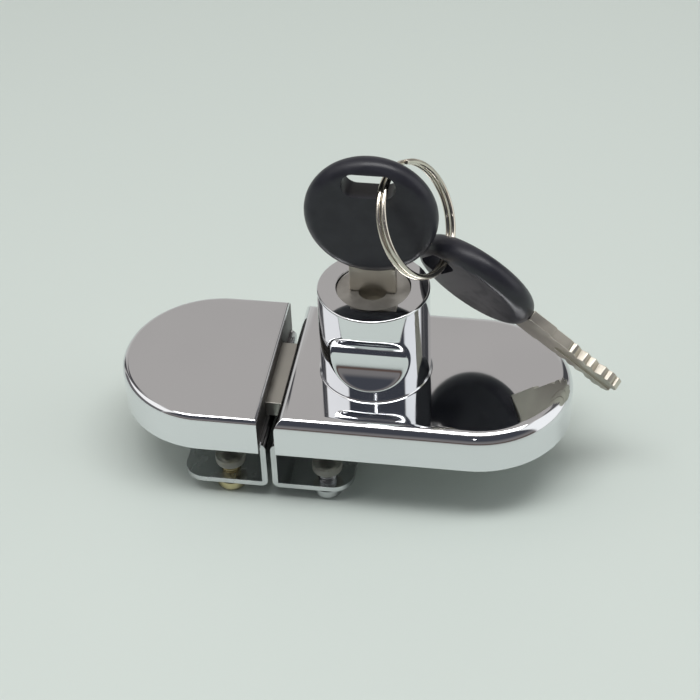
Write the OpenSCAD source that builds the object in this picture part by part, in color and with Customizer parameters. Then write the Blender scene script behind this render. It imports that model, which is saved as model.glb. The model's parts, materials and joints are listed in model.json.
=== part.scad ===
// Clamp-on lock for a pair of glass cabinet doors.
// The origin is on the key axis, at the face that sits on the glass. +Z points out of the door,
// +X runs along the lock half to its round end, and the strike half lies at -X.
// The lock is shown locked, with the key in it and a spare key hanging on the split ring.

/* [Covers] */
// Width of both covers
cover_w = 40; // [37:0.5:48]
// Length of the lock cover
lock_len = 60; // [56:0.5:80]
// Length of the strike cover
strike_len = 32.5; // [30:0.5:50]
// Gap between the two covers
cover_gap = 3.5; // [2.6:0.1:6]
// Distance from the key axis to the gap edge of the lock cover
axis_setback = 18.5; // [18:0.5:24]
// Thickness of the cover walls
cover_wall = 2; // [1.4:0.1:2.6]
// Thickness of the cover roof
cover_roof = 1.8; // [1.2:0.1:3]
// Rounding along the top edge of the lock cover
lock_round = 3; // [1:0.1:3.4]
// Rounding along the top edge of the strike cover
strike_round = 1.5; // [0.8:0.1:3]
// Step down from the lock cover to the strike cover
strike_drop = 0.3; // [0:0.1:1]
// Height of the cover rims above the glass
rim_lift = 0.3; // [0.1:0.1:0.5]

/* [Boss] */
// Height of the round boss above the lock cover
boss_h = 21.5; // [19.5:0.5:30]
// Depth of the finger scoops in the boss
scoop_depth = 3.4; // [2:0.1:5]
// Radius of the scoop surface
scoop_r = 7.8; // [6:0.1:9]
// Height of the middle of the scoops above the lock cover
scoop_rise = 9.7; // [8:0.1:12]
// Wall left between a scoop and the bore
boss_wall = 0.9; // [0.8:0.1:3]
// Rounding of the top edge of the boss
boss_round = 0.8; // [0.3:0.1:1.5]

/* [Lock cylinder] */
// Plug wall beside the keyway
plug_wall = 1.4; // [1:0.1:2.5]
// Wall of the cylinder housing
housing_wall = 1.4; // [1.2:0.1:2.5]
// Step out to the housing flange and the plug head
flange_lip = 0.3; // [0.2:0.05:1]
// Thickness of the housing flange
flange_t = 1.4; // [1:0.1:3]
// Thickness of the plug head
head_t = 1.5; // [1:0.1:3]
// Depth of the plug face below the boss top
face_recess = 0.6; // [0.3:0.1:1.5]
// Number of wafers
wafer_n = 6; // [4:1:6]
// Thickness of a wafer
wafer_t = 0.9; // [0.6:0.05:1.1]
// Thickness of the retaining ring
clip_t = 0.8; // [0.6:0.1:1.2]
// Radial width of the retaining ring
clip_w = 2.3; // [1.5:0.1:3]

/* [Bolt] */
// Width of the bolt tongue
tongue_w = 19.6; // [14:0.2:22]
// Thickness of the bolt
bolt_t = 3.6; // [2.5:0.1:5]
// Reach of the bolt into the strike
bolt_reach = 5.2; // [4:0.1:7]
// Distance from the retracted tongue to the outer face of the lock cover
bolt_retreat = 1.5; // [0.5:0.1:2]
// Thickness of the drive cam
cam_t = 1.4; // [1:0.1:2.5]
// Radius of the drive pin
pin_r = 1.25; // [0.9:0.05:1.6]

/* [Brackets] */
// Thickness of the bracket sheet
sheet_t = 1.2; // [0.8:0.1:2]
// Gap between the two bracket webs
web_gap = 1; // [0.5:0.1:2]
// Side margin of the bracket inside the cover width
bracket_inset = 1.3; // [0.5:0.1:3]
// Outer bend radius of the brackets
bend_r = 1.6; // [1.2:0.1:2.4]
// Corner radius of the legs
leg_corner = 4.5; // [2:0.5:8]
// Clear length of the lock leg
lock_leg = 15.6; // [14:0.1:22]
// Clear length of the strike leg
strike_leg = 17.3; // [14:0.1:22]
// Thickness of the glass pads
glass_pad_t = 0.6; // [0.5:0.1:1.5]
// Radius of the posts for the bracket screws
post_r = 2.3; // [1.9:0.1:3]
// Shank radius of the bracket screws
small_r = 1.15; // [0.8:0.05:1.3]
// Head radius of the bracket screws
small_head_r = 2.1; // [1.8:0.1:2.6]

/* [Clamp screws] */
// Thickness of the glass doors
glass_t = 5; // [4:0.5:8]
// Room under the glass for the pressure pads
clamp_room = 4; // [3.4:0.1:6]
// Thickness of a pressure pad
press_t = 1.8; // [1.4:0.1:2.4]
// Radius of a pressure pad
press_r = 3.2; // [2.8:0.1:3.6]
// Radius of the clamp screws
clamp_r = 2; // [1.5:0.1:2.4]
// Head radius of the clamp screws
clamp_head_r = 3.3; // [2.8:0.1:3.6]
// Head height of the clamp screws
clamp_head_h = 2.4; // [1.8:0.1:4]
// Gap between the leg and a screw head
clamp_lift = 0.7; // [0.6:0.1:2]
// Distance from the lock web to its clamp screws
lock_clamp_in = 10; // [6:0.1:11]
// Distance from the strike web to its clamp screws
strike_clamp_in = 7.4; // [6:0.1:12]
// Distance from the side of a leg to the clamp screws
clamp_edge = 3.7; // [3.6:0.1:6]

/* [Keys] */
// Width of the key blade
blade_w = 8.4; // [7:0.1:9.4]
// Thickness of the key blade
blade_t = 2.2; // [1.6:0.1:2.6]
// Length of the blade in the plug
blade_len = 18.4; // [16.5:0.1:19]
// Width of the blade shoulder
shoulder_w = 9.5; // [8.6:0.1:11]
// Height of the blade shoulder
shoulder_h = 6; // [3:0.1:9]
// Diameter of the key bow
bow_d = 27; // [24:0.1:28]
// Thickness of the key bow
bow_t = 5.2; // [4:0.1:5.6]
// Width of the flat foot of the bow
bow_foot = 9.2; // [8:0.1:12]
// Width of the ring slot
slot_w = 11; // [10.6:0.1:13]
// Height of the ring slot
slot_h = 5.4; // [5.2:0.1:6.4]
// Rim of the bow beyond the ring slot
slot_rim = 2.4; // [1.6:0.1:3]

/* [Split ring] */
// Mean radius of the split ring
ring_r = 11.6; // [11.4:0.1:13]
// Wire thickness of the split ring
ring_wire = 1.05; // [0.8:0.05:1.1]
// Spacing of the two turns
ring_pitch = 1.5; // [1.5:0.05:1.7]

/* [Hidden] */
$fn = 64;
// Overshoot of the cutting tools
cut = 1;

// Clearances
// Running clearance of a round fit, on the radius
run = 0.05;
// Sliding clearance of the bolt and of the plates in the covers
slide = 0.15;
// Axial play between turning faces
play = 0.1;
// Clearance of the key in the keyway, across its width and its thickness
key_w_clear = 0.2;
key_t_clear = 0.15;
// Clearance of the drive pin in its slot, which also takes up the pin's circular path
pin_clear = 0.4;
// Clearance between the bolt and the strike
strike_clear = 0.35;
// Clearance between the bolt and the cam above it
cam_gap = 0.4;
// Clearance between the cam and the roof
roof_gap = 0.35;
// Clearance at the two ends of the bolt's travel
stop_gap = 0.2;

// Heights
plate_z = glass_pad_t + sheet_t;
bolt_z = plate_z + slide;
bolt_top = bolt_z + bolt_t;
cam_z = bolt_top + cam_gap;
cam_top = cam_z + cam_t;
ceiling = cam_top + roof_gap;
lock_top = ceiling + cover_roof;
strike_top = lock_top - strike_drop;
boss_top = lock_top + boss_h;
face_z = boss_top - face_recess;
head_z = face_z - head_t;
housing_top = head_z - play;
flange_z = housing_top - flange_t;
housing_z = cam_top + play;

// Places along the lock
web_out = (cover_gap - web_gap) / 2;
strike_x = -axis_setback - cover_gap;
lock_web_x = -axis_setback - web_out;
strike_web_x = strike_x + web_out;
cavity_w = cover_w - 2 * cover_wall;
plate_w = cavity_w - 2 * slide;
bracket_w = cover_w - 2 * bracket_inset;
leg_z = -(glass_t + clamp_room);
clamp_y = bracket_w / 2 - clamp_edge;
// Margin of a glass pad inside its plate
pad_inset = 0.4;

// Bracket screws, measured from the gap edge of their cover
// Gaps from the posts to the side walls, the gap wall and the round ends
post_gap = 0.3;
post_from_wall = 4.2;
lock_post_in = 6;
strike_post_in = 8;
post_y = cavity_w / 2 - post_r - post_gap;
near_post = cover_wall + post_from_wall;
lock_far_post = lock_len - cover_wall - lock_post_in;
strike_far_post = strike_len - cover_wall - strike_post_in;
// Room above the tip of a screw under the roof, and the depth of its hole past the tip
tip_room = 1.2;
hole_extra = 0.3;
small_len = ceiling - plate_z - tip_room;
// Run of the posts, ribs and stops into the roof
root = 0.5;
// Length, width and depth of the cross recess in each kind of screw
small_recess = [2.1, 0.6, 0.6];
clamp_recess = [4, 0.9, 1.3];
cam_recess = [2.3, 0.5, 0.7];

// Lock cylinder
keyway_w = blade_w + 2 * key_w_clear;
keyway_t = blade_t + 2 * key_t_clear;
plug_r = keyway_w / 2 + plug_wall;
housing_r = plug_r + run + housing_wall;
flange_r = housing_r + flange_lip;
bore_r = housing_r + run;
counterbore_r = flange_r + slide;
boss_r = bore_r + boss_wall + scoop_depth;
scoop_z = lock_top + scoop_rise;
// Depth of the flat that keeps the housing from turning
flat_depth = 0.7;
housing_flat = housing_r - flat_depth;
// Groove, pocket, opening and plier holes of the retaining ring
clip_groove = 0.55;
clip_clear = 0.4;
clip_opening = 4;
clip_hole_r = 0.5;
clip_hole_turn = 24;
clip_seat = lock_top + play;
clip_r = housing_r - clip_groove + run + clip_w;
// Gap from the key's tip to the end of the keyway, and the metal left below that
tip_gap = 0.6;
keyway_floor = 0.9;
shoulder_z = face_z + play;
tip_z = shoulder_z - blade_len;
keyway_z = tip_z - tip_gap;
// Tail of the plug, the screw in it and the countersunk mouth of the keyway
tail_r = 3.5;
tail_flat = 2.6;
cam_screw_r = 1;
cam_screw_head_r = 1.9;
cam_screw_head_h = 1.4;
cam_screw_top = keyway_z - keyway_floor;
mouth_r = 3;
mouth_depth = 0.8;

// Wafers and their springs
// Distance from the key's shoulder to the first wafer, and from the last to the key's tip
wafer_first = 5;
wafer_last = 1.6;
wafer_pitch = (blade_len - wafer_first - wafer_last) / (wafer_n - 1);
wafer_w = 6.4;
wafer_half = wafer_w / 2;
// Distance from a wafer's end to the skin of the plug
wafer_inset = 0.2;
wafer_r = plug_r - wafer_inset;
// Room round the keyway in a wafer's window
window_w_clear = 0.1;
window_t_clear = 0.3;
window_w = keyway_w + window_w_clear;
window_t = keyway_t + window_t_clear;
// Wall behind the wafer chamber of the housing, and its run past the end wafers
chamber_wall = 0.6;
chamber_over = 1;
spring_r = 0.55;
spring_wire = 0.24;
spring_pitch = 0.7;
spring_turns = 4;
spring_len = spring_pitch * spring_turns;
// Distance from the wafer to its spring, the ear that the spring pushes, and the room round both
spring_off = 0.95;
spring_y = wafer_half + spring_off;
ear_t = 0.7;
ear_x = spring_len / 2 + spring_wire / 2 + run;
pocket_clear = 0.25;

// Bolt drive
bolt_travel = cover_gap + bolt_reach + bolt_retreat;
drive_r = bolt_travel / (2 * sin(45));
pin_slot = pin_r + pin_clear;
// Step out from the tongue to the body of the bolt
bolt_shoulder = 0.9;
bolt_half = tongue_w / 2 + bolt_shoulder;
bolt_tip = strike_x - bolt_reach;
bolt_front = -axis_setback + cover_wall + stop_gap;
// Room round the cam screw's head in the bolt's window, and the bar behind the window
head_clear = 0.7;
bolt_bar = 2.8;
window_r = cam_screw_head_r + head_clear;
bolt_back = window_r + bolt_bar;
// Ribs that guide the bolt, and the stops behind it
rib_t = 1;
stop_w = 4;
rib_y = max(bolt_half + slide, drive_r + pin_slot);
stop_x = bolt_back + bolt_travel + stop_gap;
rib_end = stop_x + rib_t;
// Rims of the cam round its hub and its pin, and beside its arm
cam_rim = 1.1;
arm_rim = 0.8;
cam_hub_r = tail_r + cam_rim;
cam_arm = 2 * (pin_r + arm_rim);
cam_end_r = pin_r + cam_rim;
// Turn of the drive pin when locked, and the gap under its end
pin_turn = 225;
pin_end_gap = 0.6;
pin_z = plate_z + pin_end_gap;

// Keys
bow_r = bow_d / 2;
bow_z = shoulder_z + shoulder_h;
bow_cz = bow_z + sqrt(bow_r * bow_r - bow_foot * bow_foot / 4);
slot_z = bow_cz + bow_r - slot_rim - slot_h / 2;
tang_w = 7;
tang_len = 9;
tang_clear = 0.02;
tip_chamfer = 2.4;
groove_w = 2.4;
groove_depth = 0.45;
groove_top = 3.4;
// Depths of the cuts in both edges of the blade, one for each wafer from the shoulder down
bitting = [0.5, 1.1, 0.8, 1.2, 0.6, 0.9];

// The ring hangs from the slot of the key, and the spare key from the ring's far side
ring_seat = [3.1, 0, slot_z - 0.2];
ring_turn = [30, 59, 16];
spare_at = 176;
spare_seat = [2.5, 0, slot_z + 0.2];
spare_turn = [138, -54, 36];
// Angle from the far side of the ring down to the round end of the lock cover. The spare key hangs
// freely where it is steeper than the second angle, and leans up on the ring where it is less steep
ring_way = [cos(ring_turn[1]) * cos(ring_turn[2]),
    cos(ring_turn[1]) * sin(ring_turn[2]), -sin(ring_turn[1])];
spare_hang = ring_seat + 2 * ring_r * ring_way;
end_angle = atan2(spare_hang[2] - lock_top, lock_len - axis_setback - spare_hang[0]);
hang_angle = 46.1;
spare_lean = max(0, hang_angle - end_angle);
// Steps round one turn of the ring, the steps left off each end, and the sides of its wire
ring_steps = 48;
ring_skip = 2;
ring_sides = 6;
// The wire crosses from one turn to the other here, over this arc
cross_at = 23;
cross_arc = 30;

// Colours
chrome = "#C9CBCD";
steel = "#B8BBBE";
nickel = "#A9A59C";
brass = "#B99A55";
zinc = "#C6BE9E";
rubber = "#D9DEDA";
nylon = "#E6E4DC";
black = "#1C1B1D";

// Shapes that repeat

// Outline of half a cover section, from the middle to the side, with its top corner rounded
module half_section(half, low, high, r) {
    difference() {
        translate([0, low]) square([half, high - low]);
        translate([half - r, high - r]) difference() {
            square(r + cut);
            circle(r);
        }
    }
}

// Outer form of a cover: gap edge at x = 0, round end at +X
module cover_form(len, top, r, gap_r) {
    straight = len - cover_w / 2;
    intersection() {
        rotate([90, 0, 90]) linear_extrude(straight) union() {
            half_section(cover_w / 2, rim_lift, top, r);
            mirror([1, 0]) half_section(cover_w / 2, rim_lift, top, r);
        }
        if (gap_r > 0)
            translate([straight, cover_w / 2 + cut, 0]) rotate([90, 0, 0])
                linear_extrude(cover_w + 2 * cut) mirror([1, 0]) half_section(straight, 0, top, gap_r);
    }
    translate([straight, 0, 0]) rotate([0, 0, -90]) rotate_extrude(angle = 180)
        half_section(cover_w / 2, rim_lift, top, r);
}

// D-shaped outline of a plate in a cover: straight edge at x = 0
module d_outline(straight, half) {
    translate([0, -half]) square([straight, 2 * half]);
    translate([straight, 0]) intersection() {
        circle(half);
        translate([0, -half]) square([half + cut, 2 * half]);
    }
}

// Hollow of a cover, open at the bottom and through the low part of its gap wall
module cover_hollow(len, roof_z) {
    straight = len - cover_w / 2;
    translate([cover_wall, 0, -cut]) linear_extrude(roof_z + cut)
        d_outline(straight - cover_wall, cavity_w / 2);
    translate([-cut, -cavity_w / 2, -cut]) cube([cover_wall + 2 * cut, cavity_w, plate_z + slide + cut]);
}

// Places of the bracket screws, from the gap edge
module at_posts(far) {
    for (side = [-1, 1]) translate([near_post, side * post_y, 0]) children();
    translate([far, 0, 0]) children();
}

module post(roof_z) {
    translate([0, 0, plate_z]) cylinder(r = post_r, h = roof_z - plate_z + root);
}

module post_hole() {
    translate([0, 0, plate_z - cut]) cylinder(r = small_r + run, h = small_len + hole_extra + cut);
}

// Cross recess in the lower face of a screw head
module cross_recess(size) {
    for (turn = [0, 90]) rotate([0, 0, turn])
        translate([-size[0] / 2, -size[1] / 2, -cut]) cube([size[0], size[1], size[2] + cut]);
}

module small_screw() {
    translate([0, 0, glass_pad_t]) difference() {
        union() {
            cylinder(r1 = small_head_r, r2 = small_r, h = sheet_t - play);
            cylinder(r = small_r, h = sheet_t + small_len);
        }
        cross_recess(small_recess);
    }
}

module small_hole() {
    translate([0, 0, glass_pad_t]) {
        cylinder(r1 = small_head_r + run, r2 = small_r + run, h = sheet_t - play);
        translate([0, 0, -cut]) cylinder(r = small_r + run, h = sheet_t + 2 * cut);
        translate([0, 0, -cut]) cylinder(r = small_head_r + run, h = cut);
    }
}

// Outer corner that a bend rounds off, in the section plane
module bend_corner() {
    difference() {
        translate([-cut, -cut]) square(bend_r + cut);
        translate([bend_r, bend_r]) circle(bend_r);
    }
}

// Bent sheet bracket: outer web face at x = 0, plate at +X under its cover, leg below the glass
module bracket_form(len, leg, clamp_in, far) {
    low = leg_z - sheet_t;
    difference() {
        union() {
            translate([0, bracket_w / 2, 0]) rotate([90, 0, 0]) linear_extrude(bracket_w) difference() {
                union() {
                    translate([0, low]) square([sheet_t, plate_z - low]);
                    translate([0, glass_pad_t]) square([web_out, sheet_t]);
                    translate([0, low]) square([sheet_t + leg, sheet_t]);
                }
                translate([0, low]) bend_corner();
                translate([0, plate_z]) mirror([0, 1]) bend_corner();
            }
            translate([sheet_t / 2, 0, glass_pad_t]) linear_extrude(sheet_t)
                d_outline(web_out + len - cover_w / 2 - sheet_t / 2, plate_w / 2);
        }
        translate([web_out, 0, 0]) at_posts(far) small_hole();
        for (side = [-1, 1]) {
            translate([sheet_t + clamp_in, side * clamp_y, low - cut])
                cylinder(r = clamp_r + run, h = sheet_t + 2 * cut);
            translate([sheet_t + leg - leg_corner, side * (bracket_w / 2 - leg_corner), low - cut])
                difference() {
                    translate([0, min(side, 0) * (leg_corner + cut), 0])
                        cube([leg_corner + cut, leg_corner + cut, sheet_t + 2 * cut]);
                    translate([0, 0, -cut]) cylinder(r = leg_corner, h = sheet_t + 4 * cut);
                }
        }
    }
}

// Glass pad under a bracket plate: web face at x = 0
module pad_form(len) {
    translate([sheet_t + pad_inset, 0, 0]) linear_extrude(glass_pad_t)
        d_outline(web_out + len - cover_w / 2 - sheet_t - pad_inset, plate_w / 2 - pad_inset);
}

// Places: gap edge and web face of each half
module on_lock() {
    translate([-axis_setback, 0, 0]) children();
}

module on_strike() {
    translate([strike_x, 0, 0]) mirror([1, 0, 0]) children();
}

module on_lock_web() {
    translate([lock_web_x, 0, 0]) children();
}

module on_strike_web() {
    translate([strike_web_x, 0, 0]) mirror([1, 0, 0]) children();
}

// Clamp screw through a leg, with its cross recess, and the pad on its tip
module clamp_screw_form() {
    head = leg_z - sheet_t - clamp_lift;
    tip = -glass_t - press_t / 2;
    translate([0, 0, head]) cylinder(r = clamp_r, h = tip - head);
    translate([0, 0, head - clamp_head_h]) difference() {
        cylinder(r = clamp_head_r, h = clamp_head_h);
        rotate([0, 0, 45]) cross_recess(clamp_recess);
    }
}

module pressure_pad_form() {
    translate([0, 0, -glass_t - press_t]) difference() {
        cylinder(r = press_r, h = press_t);
        translate([0, 0, -cut]) cylinder(r = clamp_r + run, h = cut + press_t / 2);
    }
}

module at_lock_clamp(side) {
    translate([lock_web_x + sheet_t + lock_clamp_in, side * clamp_y, 0]) children();
}

module at_strike_clamp(side) {
    translate([strike_web_x - sheet_t - strike_clamp_in, side * clamp_y, 0]) children();
}

// Keys, drawn in the lock

module blade_form() {
    difference() {
        union() {
            translate([-blade_w / 2, -blade_t / 2, tip_z]) cube([blade_w, blade_t, blade_len]);
            translate([-shoulder_w / 2, -blade_t / 2, shoulder_z]) cube([shoulder_w, blade_t, shoulder_h]);
            translate([-tang_w / 2, -blade_t / 2, bow_z]) cube([tang_w, blade_t, tang_len]);
        }
        for (side = [-1, 1]) {
            translate([side * blade_w / 2, 0, tip_z]) rotate([0, 45, 0])
                cube([tip_chamfer, blade_t + 2 * cut, tip_chamfer], center = true);
            translate([-groove_w / 2, side * (blade_t + cut - groove_depth) / 2 - (groove_depth + cut) / 2,
                tip_z - cut]) cube([groove_w, groove_depth + cut, shoulder_z - groove_top - tip_z + cut]);
            for (i = [0 : wafer_n - 1]) translate([side * blade_w / 2, 0, wafer_z(i)]) rotate([0, 45, 0])
                cube([bitting[i] * sqrt(2), blade_t + 2 * cut, bitting[i] * sqrt(2)], center = true);
        }
    }
}

module bow_form() {
    difference() {
        translate([0, 0, bow_cz]) rotate([90, 0, 0]) rotate_extrude() intersection() {
            union() {
                translate([0, -bow_t / 2]) square([bow_r - bow_t / 2, bow_t]);
                translate([bow_r - bow_t / 2, 0]) circle(bow_t / 2);
            }
            translate([0, -bow_t]) square([bow_d, 2 * bow_t]);
        }
        translate([-bow_r, -bow_t, bow_z - bow_r]) cube([bow_d, 2 * bow_t, bow_r]);
        for (side = [-1, 1]) translate([side * (slot_w - slot_h) / 2, bow_t, slot_z])
            rotate([90, 0, 0]) cylinder(r = slot_h / 2, h = 2 * bow_t);
        translate([-(slot_w - slot_h) / 2, -bow_t, slot_z - slot_h / 2])
            cube([slot_w - slot_h, 2 * bow_t, slot_h]);
        translate([-tang_w / 2 - tang_clear, -blade_t / 2 - tang_clear, bow_z - cut])
            cube([tang_w + 2 * tang_clear, blade_t + 2 * tang_clear, tang_len + cut + tang_clear]);
    }
}

// The ring's own frame: slot of the key at the origin, ring middle at +X, ring axis along Z
module on_ring() {
    translate(ring_seat) rotate(ring_turn) children();
}

// The spare key's frame, on the far side of the ring
module on_spare() {
    on_ring() translate([ring_r, 0, 0]) rotate([0, 0, -spare_at]) translate([-ring_r, 0, 0])
        rotate([0, spare_lean, 0]) rotate(spare_turn) translate(-spare_seat) children();
}

// Wafer heights and coils

function wafer_z(i) = shoulder_z - wafer_first - i * wafer_pitch;

// Faces of a closed tube of n rings with the given number of sides
function tube_faces(n, sides) = concat(
    [for (i = [0 : n - 2], s = [0 : sides - 1])
        [i * sides + s, (i + 1) * sides + s, i * sides + (s + 1) % sides]],
    [for (i = [0 : n - 2], s = [0 : sides - 1])
        [i * sides + (s + 1) % sides, (i + 1) * sides + s, (i + 1) * sides + (s + 1) % sides]],
    [for (s = [1 : sides - 2]) [0, s, s + 1]],
    [for (s = [1 : sides - 2]) [(n - 1) * sides, (n - 1) * sides + s + 1, (n - 1) * sides + s]]);

// Least distance between path points that are half a turn or more apart along the wire
function self_gap(path, apart, wire) = min([for (i = [0 : len(path) - 1 - apart])
    min([for (j = [i + apart : len(path) - 1]) norm(path[i] - path[j])])]) - wire;

// The ring's wire: two flat turns, joined by a smooth crossing
function ease(u) = u <= 0 ? 0 : u >= 1 ? 1 : u * u * (3 - 2 * u);
function ring_rise(t) = ring_pitch * (ease((t - 360) / cross_arc + 0.5) - 0.5);
ring_n = 2 * (ring_steps - ring_skip) + 1;
function ring_angle(i) = (i + ring_skip) * 360 / ring_steps;
ring_path = [for (i = [0 : ring_n - 1]) let (t = ring_angle(i))
    [ring_r * cos(t), ring_r * sin(t), ring_rise(t)]];
ring_points = [for (i = [0 : ring_n - 1], s = [0 : ring_sides - 1])
    let (t = ring_angle(i), a = s * 360 / ring_sides, w = ring_wire / 2)
    ring_path[i] + w * [cos(a) * cos(t), cos(a) * sin(t), sin(a)]];
echo(ring_self_gap = self_gap(ring_path, ring_steps / 2, ring_wire));

// A wafer spring's wire, wound along X
spring_steps = 8;
spring_n = spring_steps * spring_turns + 1;
spring_path = [for (i = [0 : spring_n - 1]) let (t = i * 360 / spring_steps)
    [i * spring_pitch / spring_steps - spring_len / 2, spring_r * cos(t), spring_r * sin(t)]];
spring_points = [for (i = [0 : spring_n - 1], s = [0 : ring_sides - 1])
    let (t = i * 360 / spring_steps, a = s * 360 / ring_sides, w = spring_wire / 2)
    spring_path[i] + w * [sin(a), cos(a) * cos(t), cos(a) * sin(t)]];
echo(spring_self_gap = self_gap(spring_path, spring_steps / 2, spring_wire));

// Lock half

module lock_cover() {
    color(chrome) difference() {
        union() {
            difference() {
                on_lock() cover_form(lock_len, lock_top, lock_round, lock_round);
                on_lock() cover_hollow(lock_len, ceiling);
            }
            boss_blank();
            on_lock() at_posts(lock_far_post) post(ceiling);
            for (side = [-1, 1]) {
                translate([-axis_setback + cover_wall / 2, side * (rib_y + rib_t / 2) - rib_t / 2, plate_z])
                    cube([rib_end + axis_setback - cover_wall / 2, rib_t, ceiling - plate_z + root]);
                translate([stop_x, side * (bolt_half - stop_w / 2) - stop_w / 2, plate_z])
                    cube([rib_t, stop_w, ceiling - plate_z + root]);
            }
        }
        on_lock() at_posts(lock_far_post) post_hole();
        translate([-axis_setback - cut, -tongue_w / 2 - slide, -cut])
            cube([cover_wall + 2 * cut, tongue_w + 2 * slide, cut + bolt_top + slide]);
        translate([0, 0, ceiling - cut]) {
            cylinder(r = clip_r + clip_clear, h = clip_seat - ceiling + cut);
            intersection() {
                cylinder(r = bore_r, h = boss_h + cover_roof + 2 * cut);
                translate([-boss_r, -boss_r, 0])
                    cube([2 * boss_r, boss_r + housing_flat + run, boss_h + cover_roof + 2 * cut]);
            }
        }
        translate([0, 0, flange_z]) cylinder(r = counterbore_r, h = boss_top - flange_z + cut);
        for (side = [-1, 1]) translate([-boss_r - cut, side * (boss_r - scoop_depth + scoop_r), scoop_z])
            rotate([0, 90, 0]) cylinder(r = scoop_r, h = 2 * (boss_r + cut));
    }
}

// Boss before its bore and scoops are cut
module boss_blank() {
    translate([0, 0, ceiling]) rotate_extrude() half_section(boss_r, 0, boss_top - ceiling, boss_round);
}

module lock_bracket() {
    color(steel) on_lock_web() bracket_form(lock_len, lock_leg, lock_clamp_in, lock_far_post);
}

module lock_bracket_screws() {
    color(steel) on_lock() at_posts(lock_far_post) small_screw();
}

module lock_glass_pad() {
    color(rubber) on_lock_web() pad_form(lock_len);
}

module cylinder_housing() {
    color(brass) difference() {
        union() {
            intersection() {
                translate([0, 0, housing_z]) cylinder(r = housing_r, h = housing_top - housing_z);
                translate([-housing_r, -housing_r, 0])
                    cube([2 * housing_r, housing_r + housing_flat, boss_top]);
            }
            translate([0, 0, flange_z]) cylinder(r = flange_r, h = flange_t);
        }
        translate([0, 0, housing_z - cut]) cylinder(r = plug_r + run, h = boss_top);
        translate([0, 0, clip_seat - clip_t - run]) difference() {
            cylinder(r = housing_r + cut, h = clip_t + 2 * run);
            translate([0, 0, -cut]) cylinder(r = housing_r - clip_groove, h = clip_t + 2 * cut);
        }
        translate([chamber_wall - housing_r, -wafer_half, wafer_z(wafer_n - 1) - chamber_over])
            cube([2 * (housing_r - chamber_wall), wafer_w,
                (wafer_n - 1) * wafer_pitch + 2 * chamber_over]);
    }
}

module cylinder_retaining_ring() {
    color(steel) translate([0, 0, clip_seat - clip_t]) difference() {
        cylinder(r = clip_r, h = clip_t);
        translate([0, 0, -cut]) cylinder(r = housing_r - clip_groove + run, h = clip_t + 2 * cut);
        translate([-clip_r - cut, -clip_opening / 2, -cut])
            cube([clip_r + cut, clip_opening, clip_t + 2 * cut]);
        for (side = [-1, 1]) rotate([0, 0, 180 + side * clip_hole_turn])
            translate([clip_r - clip_w / 2, 0, -cut]) cylinder(r = clip_hole_r, h = clip_t + 2 * cut);
    }
}

// Turning pieces

module cylinder_plug() {
    color(nickel) difference() {
        union() {
            translate([0, 0, cam_top]) cylinder(r = plug_r, h = face_z - cam_top);
            translate([0, 0, head_z]) cylinder(r = flange_r, h = head_t);
            translate([0, 0, cam_z]) linear_extrude(cam_t + cut) tail_outline(0);
        }
        translate([-keyway_w / 2, -keyway_t / 2, keyway_z])
            cube([keyway_w, keyway_t, face_z - keyway_z + cut]);
        translate([0, 0, face_z - mouth_depth])
            cylinder(r1 = mouth_r - mouth_depth, r2 = mouth_r + cut, h = mouth_depth + cut);
        translate([0, 0, cam_z - cut])
            cylinder(r = cam_screw_r + run, h = cam_screw_top + hole_extra - cam_z + cut);
        for (i = [0 : wafer_n - 1]) translate([0, 0, wafer_z(i) - wafer_t / 2 - run]) {
            translate([-plug_r - cut, -wafer_half - run, 0])
                cube([2 * (plug_r + cut), 2 * (wafer_half + run), wafer_t + 2 * run]);
            translate([-spring_len / 2 - pocket_clear, 0, wafer_t / 2 + run - spring_r - pocket_clear])
                cube([spring_len / 2 + ear_x + ear_t + 2 * pocket_clear, spring_y + spring_r + pocket_clear,
                    2 * (spring_r + pocket_clear)]);
        }
    }
}

// Double-D outline of the plug's tail
module tail_outline(clear) {
    intersection() {
        circle(tail_r + clear);
        square([2 * (tail_flat + clear), 2 * (tail_r + cut)], center = true);
    }
}

module wafers() {
    color(brass) for (i = [0 : wafer_n - 1]) translate([0, 0, wafer_z(i) - wafer_t / 2]) difference() {
        union() {
            intersection() {
                cylinder(r = wafer_r, h = wafer_t);
                translate([-plug_r, -wafer_half, 0]) cube([2 * plug_r, wafer_w, wafer_t]);
            }
            translate([ear_x, 0, 0]) cube([ear_t, spring_y + spring_r, wafer_t]);
        }
        translate([-window_w / 2, -window_t / 2, -cut]) cube([window_w, window_t, wafer_t + 2 * cut]);
    }
}

module wafer_springs() {
    color(steel) for (i = [0 : wafer_n - 1]) translate([0, spring_y, wafer_z(i)])
        polyhedron(spring_points, tube_faces(spring_n, ring_sides), convexity = 8);
}

module drive_cam() {
    color(steel) {
        translate([0, 0, cam_z]) linear_extrude(cam_t) difference() {
            union() {
                circle(cam_hub_r);
                rotate(pin_turn) translate([0, -cam_arm / 2]) square([drive_r, cam_arm]);
                rotate(pin_turn) translate([drive_r, 0]) circle(cam_end_r);
            }
            tail_outline(run);
        }
        rotate([0, 0, pin_turn]) translate([drive_r, 0, pin_z])
            cylinder(r = pin_r, h = cam_z + cam_t / 2 - pin_z);
    }
}

module cam_screw() {
    color(steel) {
        translate([0, 0, cam_z]) cylinder(r = cam_screw_r, h = cam_screw_top - cam_z);
        translate([0, 0, cam_z - cam_screw_head_h]) difference() {
            cylinder(r = cam_screw_head_r, h = cam_screw_head_h);
            cross_recess(cam_recess);
        }
    }
}

// Sliding bolt

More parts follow.
